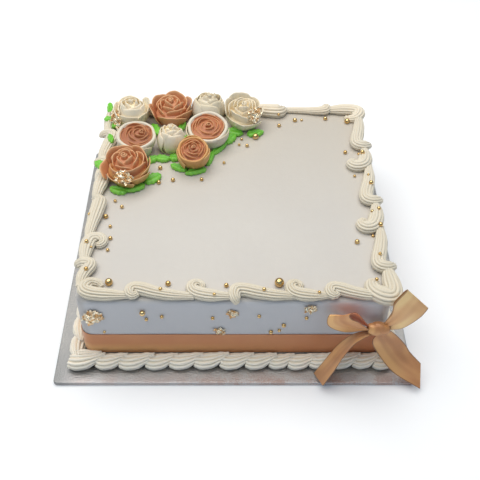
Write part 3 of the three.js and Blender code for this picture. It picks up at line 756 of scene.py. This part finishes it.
# Layers of petals from the outside in: how many, half their span in degrees, and as shares of
# the rose the height of the rim, the radius at foot and rim, the belly between them and the
# flare of the rim; last, which of its two finishes. Outer petals are laid one by one: the way
# they face and half their span in degrees, rim height, rim radius and flare
petalLayers = {
    "open": [
        (4, 52, 0.82, 0.4, 0.6, 0.06, 0.1, 1), (4, 50, 0.91, 0.32, 0.43, 0.06, 0.06, 1),
        (3, 66, 0.98, 0.2, 0.27, 0.05, 0.03, 1)],
    "drum": [
        (3, 66, 0.84, 0.6, 0.95, 0.05, 0.01, 0), (4, 58, 0.86, 0.5, 0.74, 0.03, 0.02, 1),
        (4, 56, 0.9, 0.4, 0.58, 0.03, 0.02, 1), (3, 70, 0.95, 0.3, 0.42, 0.03, 0.02, 1),
        (3, 72, 0.99, 0.18, 0.27, 0.02, 0.01, 1)],
    "bud": [
        (4, 56, 0.78, 0.5, 0.78, 0.28, 0.02, 0), (4, 54, 0.87, 0.48, 0.64, 0.26, 0.02, 0),
        (3, 62, 0.94, 0.42, 0.48, 0.22, 0.01, 0), (3, 66, 1, 0.32, 0.32, 0.14, 0, 1)],
    "tulip": [
        (3, 74, 0.84, 0.46, 0.62, 0.18, 0.03, 0), (3, 76, 0.93, 0.4, 0.44, 0.2, 0.02, 1),
        (2, 90, 1, 0.3, 0.26, 0.16, 0, 1)],
}
# The heart that each rose is piped on: shares of the radius and height, up from its foot
petalHeart = {
    "open": [(0.4, -0.2), (0.62, 0.1), (0.76, 0.3), (0.74, 0.42), (0.58, 0.52), (0.44, 0.62),
             (0.32, 0.72), (0.2, 0.8), (0, 0.82)],
    "drum": [(0.52, -0.2), (0.78, 0.2), (0.9, 0.5), (0.95, 0.7), (0.955, 0.79), (0.91, 0.835),
             (0.85, 0.83), (0.8, 0.76), (0.74, 0.73), (0.58, 0.77), (0.4, 0.82), (0.2, 0.86),
             (0.1, 0.86), (0, 0.78)],
    "bud": [(0.46, -0.2), (0.68, 0.1), (0.82, 0.35), (0.8, 0.5), (0.68, 0.66), (0.5, 0.78),
            (0.25, 0.84), (0, 0.84)],
    "tulip": [(0.42, -0.2), (0.66, 0.1), (0.76, 0.3), (0.72, 0.44), (0.58, 0.58), (0.42, 0.7),
              (0.22, 0.8), (0, 0.82)],
}
# The foot and belly of outer petals, how thick all are in millimetres, how their grids and the
# heart's are cut, and the share of the radius inside which the heart has its second finish
petalShape = {"foot": 0.42, "belly": 0.05, "thick": 1.2, "grid": (14, 9),
              "heartGrid": (40, 24), "inner": 0.815}
# The eye: its turns, its radii and heights as shares, and how far out petals lean with it
eyeShape = {"turns": 1.5, "reach": 0.045, "widens": 0.11, "low": 0.55, "tall": 0.47, "ends": 0.85}


def roundPlace(angle, reach, level):
    return Vector((reach * cos(angle), reach * sin(angle), level))


def rosePlace(spec, angle, share, level, follow):
    # a place on a rose, from its shares of the radius and the height; follow is how far it
    # goes with the rose's eye, which may be off the middle
    eye = Vector((*spec.get("eye", (0, 0)), 0))
    return (roundPlace(angle, spec["radius"] * share, spec["high"] * level) + eye * follow) * mm


def nearEye(share):
    return max(0, 1 - share / eyeShape["ends"])


def petalPoint(spec, petal, grown, u, v):
    # u runs across the petal from -1 to 1 and v up it from 0 to 1
    mid, span, tall, foot, rim, belly, flare = petal
    grow, phase, lean = grown
    top = tall * grow * (1 - 0.1 * u * u - 0.12 * u ** 4)
    top += 0.018 * sin(4 * u + phase) + 0.008 * sin(11 * u + 2 * phase)
    share = foot + (rim * lean - foot) * sin(v * pi / 2) ** 0.85
    share += flare * v ** 5 + belly * sin(v * pi)
    share *= 1 + 0.075 * u + 0.03 * sin(3.6 * u + phase) * v
    angle = mid + span * u * (0.62 + 0.38 * v ** 0.6)
    return rosePlace(spec, angle, share, v * (top + 0.1) - 0.1, nearEye(share) * v)


def eyePoint(spec, u, v):
    # the eye is one petal rolled up round the middle, its rim a spiral
    angle = spec["turn"] + turn * eyeShape["turns"] * u
    reach = (eyeShape["reach"] + eyeShape["widens"] * u) * (1.1 - 0.2 * v)
    return rosePlace(spec, angle, reach, eyeShape["low"] + v * (eyeShape["tall"] - 0.04 * u), 1)


def heartPoint(spec, u, v):
    heart = petalHeart[spec["kind"]]
    place = v * (len(heart) - 1)
    below = min(int(place), len(heart) - 2)
    share, level = Vector(heart[below]).lerp(Vector(heart[below + 1]), place - below)
    angle = turn * (u % 1)
    swell = 1 + 0.02 * sin(5 * angle + spec["turn"]) * (1 if share else 0)
    return rosePlace(spec, angle, share * swell, level, nearEye(share) * min(1, max(0, level)))


def rosePetals(spec, rng):
    # each petal: the way it faces, half its span, its heights and radii, and its finish
    petals = [(radians(facing), radians(spread), tall,
               petalShape["foot"], rim, petalShape["belly"], flare, 0)
              for facing, spread, tall, rim, flare in spec.get("outer", [])]
    for layer, (number, spread, *shares) in enumerate(petalLayers[spec["kind"]]):
        for k in range(number):
            facing = spec["turn"] + turn * (k + 0.5 * (layer % 2)) / number + rng.uniform(-0.3, 0.3)
            petals.append((facing, radians(spread * rng.uniform(0.9, 1.1)), *shares))
    return petals


def makeRose(name, spec):
    rng = random.Random(name)
    petals = rosePetals(spec, rng)
    which = [finish for *_, finish in petals] + [1]
    across, up = petalShape["grid"]
    ribs, rings = petalShape["heartGrid"]
    count = (across + 1) * (up + 1)
    start = len(petals) * count
    clearSelection()
    # one mesh: a grid for each petal, then one for the eye and one for the heart
    for x, y in [(across, up)] * (len(petals) + 1) + [(ribs, rings)]:
        bpy.ops.mesh.primitive_grid_add(x_subdivisions=x, y_subdivisions=y, size=gridSize)
        setMode("EDIT")
    setMode("OBJECT")
    rose = bpy.context.active_object
    mesh = rose.data
    edge, height = marks(mesh, "edge", "height")
    for index, (*petal, _) in enumerate(petals):
        grown = rng.uniform(0.94, 1.04), rng.uniform(0, turn), rng.uniform(0.94, 1.05)
        for n, v, u in gridShares(up, across, index * count):
            u = 2 * u - 1
            mesh.vertices[n].co = petalPoint(spec, petal, grown, u, v)
            edge[n].value = max(v, 0.6 + 0.4 * abs(u) ** 6 if v > 0.3 else 0) ** 6
            height[n].value = v
    for n, v, u in gridShares(up, across, start):
        mesh.vertices[n].co = eyePoint(spec, u, v)
        edge[n].value = v ** 6
        height[n].value = v
    start += count
    for n, v, u in gridShares(rings, ribs, start):
        mesh.vertices[n].co = heartPoint(spec, u, v)
        height[n].value = 0.3
    radius, high = spec["radius"], spec["high"]
    for polygon in mesh.polygons:
        first = min(polygon.vertices)
        middle = polygon.center / mm
        inside = middle.z > 0.6 * high and middle.xy.length < petalShape["inner"] * radius
        polygon.material_index = which[first // count] if first < start else int(inside)
    for finish in spec["finish"]:
        mesh.materials.append(finishes[finish])
    pick(rose)
    setMode("EDIT")
    bpy.ops.mesh.select_all(action="SELECT")
    bpy.ops.mesh.remove_doubles(threshold=1e-7)
    setMode("OBJECT")
    addModifier(rose, "SOLIDIFY", thickness=petalShape["thick"] * mm, offset=0)
    addModifier(rose, "SUBSURF", levels=1, render_levels=1)
    if spec["kind"] == "open":     # the cup is golden outside only
        for polygon in mesh.polygons:
            if polygon.normal.xy.dot(polygon.center.xy) < 0 and polygon.center.z > 0.2 * high * mm:
                polygon.material_index = 1
    lean, way = spec["tilt"]
    axis = Vector((-sin(radians(way)), cos(radians(way)), 0))
    place = Matrix.Translation(Vector((spec["at"][0], spec["at"][1], icingTop + 0.2)) * mm)
    mesh.transform(place @ Matrix.Rotation(radians(lean), 4, axis))
    for v in mesh.vertices:     # the foot is pressed flat on the icing
        v.co.z = max(v.co.z, (icingTop + 0.1) * mm)
    finishPiece(rose, f"piped_{name}", None, [name])


# its lower edge is tucked down behind the shells
band = {"low": 16.5, "width": 28.5, "gap": 0.35, "thick": 0.5}


def makeBand():
    block = roundedBlock("band", cake["side"] + 2 * band["gap"] + band["thick"],
                         cake["corner"] + band["gap"], band["low"], band["low"] + band["width"], [])
    pick(block)
    setMode("EDIT")
    bpy.ops.mesh.select_mode(type="FACE")
    bpy.ops.mesh.select_all(action="DESELECT")
    setMode("OBJECT")
    for polygon in block.data.polygons:
        polygon.select = abs(polygon.normal.z) > 0.5
    setMode("EDIT")
    bpy.ops.mesh.delete(type="FACE")
    bpy.ops.mesh.select_all(action="SELECT")
    bpy.ops.mesh.subdivide(number_cuts=3)
    setMode("OBJECT")
    addModifier(block, "SOLIDIFY", thickness=band["thick"] * mm, offset=0)
    ribbon = finishPiece(block, "satin_band", "bandSatin", ["ribbon_band"], angle=40)


# Each loop or tail is a strip between its two selvedges, given as pairs of places; the
# pleats stand for the width gathered in at the knot
bowPieces = {
    "bow_loop_left": {
        "far": [(127, -156, 66), (115, -152.5, 68.5), (99, -153.5, 77.5), (88, -160, 88.4),
                (87.6, -163.4, 77), (103.6, -164, 68), (127, -159, 64)],
        "near": [(127, -160, 71), (114.8, -164, 93.5), (109, -167, 100.8), (104.8, -168, 97.8),
                 (107.3, -168, 92.2), (113.8, -167, 86.8), (127, -162, 69)],
        "steps": (90, 16), "bulge": 0.6, "pleat": 0.5, "both": True,
        "satin": "loopSatin", "held": "gathered", "flat": 64},
    "bow_loop_right": {
        "far": [(141, -157, 71), (145.7, -158.6, 90.3), (145.9, -158.6, 104.3),
                (155.8, -153, 115.2)],
        "near": [(145, -159, 65), (158.6, -160, 70), (171.5, -159, 83.4), (178.3, -156, 92.4)],
        "steps": (96, 20), "bulge": 0.8, "pleat": 1.3, "double": 1.0,
        "satin": "bowSatin", "held": "gathered", "flat": 96},
    "bow_tail_left": {
        "far": [(129, -157.5, 63), (113.4, -160.4, 60.4), (100.2, -161, 43.4),
                (85.6, -165.6, 17), (79.6, -167.6, 6)],
        "near": [(129.5, -163.5, 62.5), (114.5, -172.5, 62), (103.5, -179.6, 50.7),
                 (96.4, -182.4, 32.2), (86.6, -186.6, 12)],
        "steps": (60, 16), "bulge": 1.0, "pleat": 0.5,
        "satin": "dullSatin", "held": "hung", "flat": 68},
    "bow_tail_right": {
        "far": [(136, -161, 60), (132.2, -163, 53.6), (135.8, -165.2, 42), (154.9, -174.5, 18),
                (181.8, -186.1, 6)],
        "near": [(144, -160, 66), (152, -159, 60), (165.6, -158.7, 42), (171.8, -160.9, 32),
                 (182.8, -167.3, 22)],
        "steps": (60, 22), "bulge": 1.6, "pleat": 1.3,
        "satin": "tailSatin", "held": "hung", "flat": 72},
}
knotShape = {"at": (136.5, -158.7, 66.3), "long": 21, "round": 6.8, "steps": (72, 28)}
ribbonThick = 0.4


def alongPoints(points, t):
    # the place at share t of the list of points, each span counted the same
    at = t * (len(points) - 1)
    i = min(int(at), len(points) - 2)
    return curvePoint([Vector(p) for p in points], i, at - i)


def makeStrip(name, spec):
    along, across = spec["steps"]
    strip = gridOf(along, across)
    mesh = strip.data
    acrossMark, alongMark = marks(mesh, "across", "along")
    fold = 0.04
    for j in range(along + 1):
        share = j / along
        t, side, beyond = share, 0.0, 0.0
        if "double" in spec:     # out on the near layer, round the fold, and back on the far one
            q = max(-1, min(1, (share * 2 - 1) / fold))
            t = 1 - abs(share * 2 - 1)
            side = -spec["double"] * sin(q * pi / 2)
            beyond = spec["double"] * cos(q * pi / 2)
        (a, b), (a2, b2), (a1, b1) = (
            [alongPoints(spec[edge], at) for edge in ("far", "near")]
            for at in (t, min(1, t + 0.02), max(0, t - 0.02)))
        ahead = (a2 + b2 - a1 - b1).normalized()
        out = (b - a).cross(ahead).normalized()
        tight = exp(-t * 5)
        if spec.get("both"):
            tight += exp(-(1 - t) * 5)
        for i in range(across + 1):
            v = i / across
            arch = sin(pi * v)
            lift = spec["bulge"] * arch * sin(pi * min(1, t * 1.2)) ** 0.7
            lift += spec["pleat"] * tight * sin(turn * 2.5 * v + 0.7) * arch ** 0.5
            lift += 0.25 * sin(turn * (1.3 * v + 1.1 * t)) * sin(pi * t) * arch
            grown = side * min(1, 0.25 + t * 2.5)
            n = j * (across + 1) + i
            mesh.vertices[n].co = (a.lerp(b, v) + out * (lift + grown) + ahead * beyond) * mm
            acrossMark[n].value = v
            alongMark[n].value = share
    addModifier(strip, "SOLIDIFY", thickness=ribbonThick * mm, offset=0)
    finishPiece(strip, f"satin_{name}", spec["satin"], [name], angle=50)


def makeKnot():
    # one turn of ribbon round the middle of the bow, its width crumpled into creases
    knot = gridOf(*knotShape["steps"])
    mesh = knot.data
    acrossMark, alongMark = marks(mesh, "across", "along")
    x, y, z = knotShape["at"]
    for n, share, u in gridShares(*knotShape["steps"]):
        angle = turn * share
        v = 2 * u - 1
        crease = 1.1 * abs(sin(3.3 * v + 1.5 * sin(angle + 0.9) + 0.4)) ** 0.6
        reach = knotShape["round"] * (1 - 0.42 * abs(v) ** 2.6) + 0.8 * crease - 0.9
        reach *= 1 + 0.05 * sin(2 * angle + 1.2 * v)
        lean = 1.5 * sin(angle)
        mesh.vertices[n].co = Vector((x + v * knotShape["long"] / 2 + lean * (1 - v * v) * 0.5,
                                      y + reach * cos(angle) * 0.94,
                                      z + reach * sin(angle))) * mm
        acrossMark[n].value = u
        alongMark[n].value = share
    pick(knot)
    setMode("EDIT")
    bpy.ops.mesh.select_all(action="SELECT")
    bpy.ops.mesh.remove_doubles(threshold=1e-6)
    bpy.ops.mesh.normals_make_consistent(inside=False)
    setMode("OBJECT")
    addModifier(knot, "SOLIDIFY", thickness=ribbonThick * mm, offset=0)
    finishPiece(knot, "satin_bow_knot", "tailSatin", ["bow_knot"], angle=60)


# Each leaf: x and y of its stem, which way it points in degrees, its length and width, and how
# far its underside is above the icing
leaves = [
    (-144, 131, 98, 19, 7, 7), (-138, 119, 178, 12, 9, 6), (-133, 118, 245, 14, 8, 4),
    (-136, 75, 109, 15, 7, 7), (-134, 31, 152, 20, 12, 7), (-113, 0, 160, 20, 12, 0),
    (-95, 13, 211, 23, 12, 0), (-97, 17, 30, 22, 15, 0), (-94, 50, 38, 13, 10, 0),
    (-86, 58, 345, 17, 11, 0), (-71, 58, 350, 12, 12, 0), (-50, 36, 155, 21, 10, 0),
    (-29, 38, 200, 25, 10, 0), (-29, 44, 73, 25, 8, 0), (-23, 63, 53, 26, 9, 0),
    (-10, 83, 49, 20, 13, 0), (-8, 106, 342, 21, 14, 0), (16, 100, 8, 20, 12, 0),
    (-51, 147, 121, 16, 10, 6), (-60, 103, 80, 17, 8, 3), (-86, 95, 112, 20, 11, 3),
    (-58, 68, 48, 18, 8, 12),
]
# The outline is its half width as a share, from stem to point; the wave is that of its ruffles
leafShape = {
    "outline": [(0, 0.45), (0.12, 0.8), (0.4, 1.0), (0.7, 0.9), (0.92, 0.5), (1, 0.1)],
    "thick": 4.6, "wave": 5.2, "ruffle": 0.12, "lump": 0.55, "groove": 0.42,
}


def makeLeaf(number, x, y, facing, long, wide, lift):
    # a sphere pulled out into a pointed oval, with a furrow down its middle and ripples
    rng = random.Random(40 + number)
    phase = rng.uniform(0, turn)
    leaf = added(bpy.ops.mesh.primitive_uv_sphere_add, segments=40, ring_count=20, radius=1,
                 rotation=(0, pi / 2, 0))
    bpy.ops.object.transform_apply()
    mesh = leaf.data
    edge = marks(mesh, "edge")[0]
    for v in mesh.vertices:
        sx, sy, sz = v.co
        t = 0.5 + 0.5 * sx
        ring = max(hypot(sy, sz), 1e-6)
        cy, cz = sy / ring, sz / ring
        full = between(leafShape["outline"], t)
        full *= min(1, ring * 1.6)
        ripple = sin(turn * t * long / leafShape["wave"] + phase)
        across = wide / 2 * full * cy * (1 + leafShape["ruffle"] * ripple * abs(cy))
        height = leafShape["thick"] * (0.35 + 0.65 * full)
        groove = 1 - leafShape["groove"] * exp(-(cy / 0.3) ** 2) * min(1, full)
        z = height * max(cz, 0) ** 0.7 * groove + t ** 2 * (1 if cz > 0 else 0.6)
        if cz > 0:
            z += leafShape["lump"] * ripple * abs(cy)
        v.co = Vector((t * long, across + 0.5 * sin(3 * t + phase), z + 0.5)) * mm
        edge[v.index].value = abs(cy) * (1 if cz > -0.2 else 0)
    place = Matrix.Translation(Vector((x, y, icingTop + lift)) * mm)
    mesh.transform(place @ Matrix.Rotation(radians(facing), 4, "Z"))
    node = f"leaf_{number:02d}"
    finishPiece(leaf, f"piped_{node}", "leaf", [node])


# Pearls on the top: x, y and radius; they rest on what is under them
topPearls = [
    (-80, 40, 2.4), (-80, 16, 2.4), (-65, 20, 2.3), (-34, 21, 2.1), (-10, 49, 1.7),
    (10, 91, 1.6), (7, 81, 1.6), (16, 79, 2), (26, 94, 3.6), (-124, -13, 1.8), (-116, -22, 2),
    (-131, -37, 2.6), (-125, -51, 1.8), (-123, -68, 2.1), (-124, -84, 1.8), (-118, -127, 3.8),
    (-62, -128, 2.7), (-7, -130, 2.3), (43, -128, 4.6), (123, -73, 2.5), (134, 123, 3.3),
    (126, 67, 2.2), (132, 27, 1.6), (54, 130, 1.6), (54, 116, 2.2), (73, 126, 2.5),
    (81, 127, 1.5), (109, 129, 2.4),
]
# Pearls on the piped borders: x, y and radius
borderPearls = [
    (-68, -141, 1.8), (-18, -147, 1.5), (28, -142, 1.8), (79, -144, 1.6),
    (141, 65, 1.7), (143, 57, 2.6), (145, 20, 1.6), (146, 6, 2.4), (149, -33, 2.2),
    (142, -36, 1.8), (148, -55, 2.4), (140, -64, 1.8), (141, -98, 1.8), (134, -128.5, 1.8),
    (-144, -81, 2), (-139, -86, 1.3), (-140, -116, 2.2), (-147, -40, 1.6),
]
frontPearls = [     # x, z and radius
    (-86, 79, 2.8), (-83, 69, 1.8), (-68, 73, 1.8), (-20, 71, 1.8), (24, 74, 1.8), (69, 71, 1.8),
    (48, 60, 2.1), (44, 52, 1.7), (36, 49.7, 2.1), (-125, 49.5, 1.5),
]
# how far their middles stand out of the icing, as shares of their radii
pearlRise = {"top": 0.7, "border": 0.3, "front": 0.55}
# Gold leaf: each flake's middle, width and height, and its turns about X and Y in radians
frontLeaf = [
    ((-133, -149.3, 73), 20, 21, 1.57, 0), ((-1, -149.3, 78), 14, 12, 1.57, 0.3),
    ((72, -149.3, 85), 14, 12, 1.57, -0.2), ((-13, -149.3, 51.5), 12, 12, 1.57, 0.1),
]
roseLeaf = [
    ((-135, 113, 108), 17, 22, 0.9, -0.4), ((25, 107, 117), 15, 22, 0.8, 0.4),
    ((-114, 3, 114), 22, 19, 0.8, 0.1),
]


def heightAt(trees, x, y):
    top = icingTop
    for tree in trees:
        hit = tree.ray_cast(Vector((x * mm, y * mm, 0.3)), Vector((0, 0, -1)))
        if hit[0]:
            top = max(top, hit[0].z / mm)
    return top


def makePearls():
    bpy.context.view_layer.update()
    graph = bpy.context.evaluated_depsgraph_get()
    under = ["cake_icing"] + [f"piped_scrolls_{name}" for name in sideNames]
    trees = [BVHTree.FromObject(bpy.data.objects[name], graph) for name in under]
    places = [((x, y, heightAt(trees, x, y) + pearlRise[where] * r), r)
              for where, rows in (("top", topPearls), ("border", borderPearls))
              for x, y, r in rows]
    places += [((x, -half - pearlRise["front"] * r, z), r) for x, z, r in frontPearls]
    pearls = []
    for place, radius in places:
        pearls.append(added(bpy.ops.mesh.primitive_uv_sphere_add, segments=28, ring_count=16,
                            radius=radius * mm, location=[c * mm for c in place]))
        bpy.ops.object.transform_apply()
    finishPiece(joinPieces(pearls), "gold_pearls", "pearl")


def makeGoldLeaf(name, flakes, seed):
    # thin gold, crumpled, with a torn outline
    made = []
    for number, (place, wide, high, leanX, leanY) in enumerate(flakes):
        flake = gridOf(34, 34)
        shift = Vector((seed * 7.3 + number * 3.1, number * 5.7, seed))
        for v in flake.data.vertices:
            u, w = v.co.xy / (gridSize / 2)
            px, py = u * sqrt(1 - w * w / 2), w * sqrt(1 - u * u / 2)
            angle = atan2(py, px)
            torn = 0.85 + 0.5 * noise.noise(roundPlace(angle, 1.6, 0) + shift)
            torn += 0.22 * noise.noise(roundPlace(angle, 5, 3) + shift)
            crumple = abs(noise.noise(Vector((px * 1.8, py * 1.8, 5)) + shift))
            crumple += 0.45 * abs(noise.noise(Vector((px * 4.2, py * 4.2, 9)) + shift))
            v.co = Vector((px * wide / 2 * torn, py * high / 2 * torn, 0.3 + 3.2 * crumple)) * mm
        addModifier(flake, "SOLIDIFY", thickness=0.00015, offset=0)
        flake.data.transform(Matrix.Translation(Vector(place) * mm)
                             @ Matrix.Rotation(leanY, 4, "Y") @ Matrix.Rotation(leanX, 4, "X"))
        made.append(flake)
    finishPiece(joinPieces(made), name, "goldLeaf", angle=25)


makeCamera()
makeLights()
makeFloor()
print("camera, light and floor made")
makeBoard()
makeCake()
print("board and cake made")
makeTopBorder()
makeFootBorder()
print("borders piped")
for roseName, roseSpec in roses.items():
    makeRose(roseName, roseSpec)
print("roses made")
for leafNumber, leafSpec in enumerate(leaves, 1):
    makeLeaf(leafNumber, *leafSpec)
print("leaves made")
makeBand()
makeKnot()
for stripName, stripSpec in bowPieces.items():
    makeStrip(stripName, stripSpec)
print("ribbon and bow made")
makePearls()
makeGoldLeaf("gold_leaf_front", frontLeaf, 1)
makeGoldLeaf("gold_leaf_roses", roseLeaf, 2)
print("pearls and gold leaf laid")
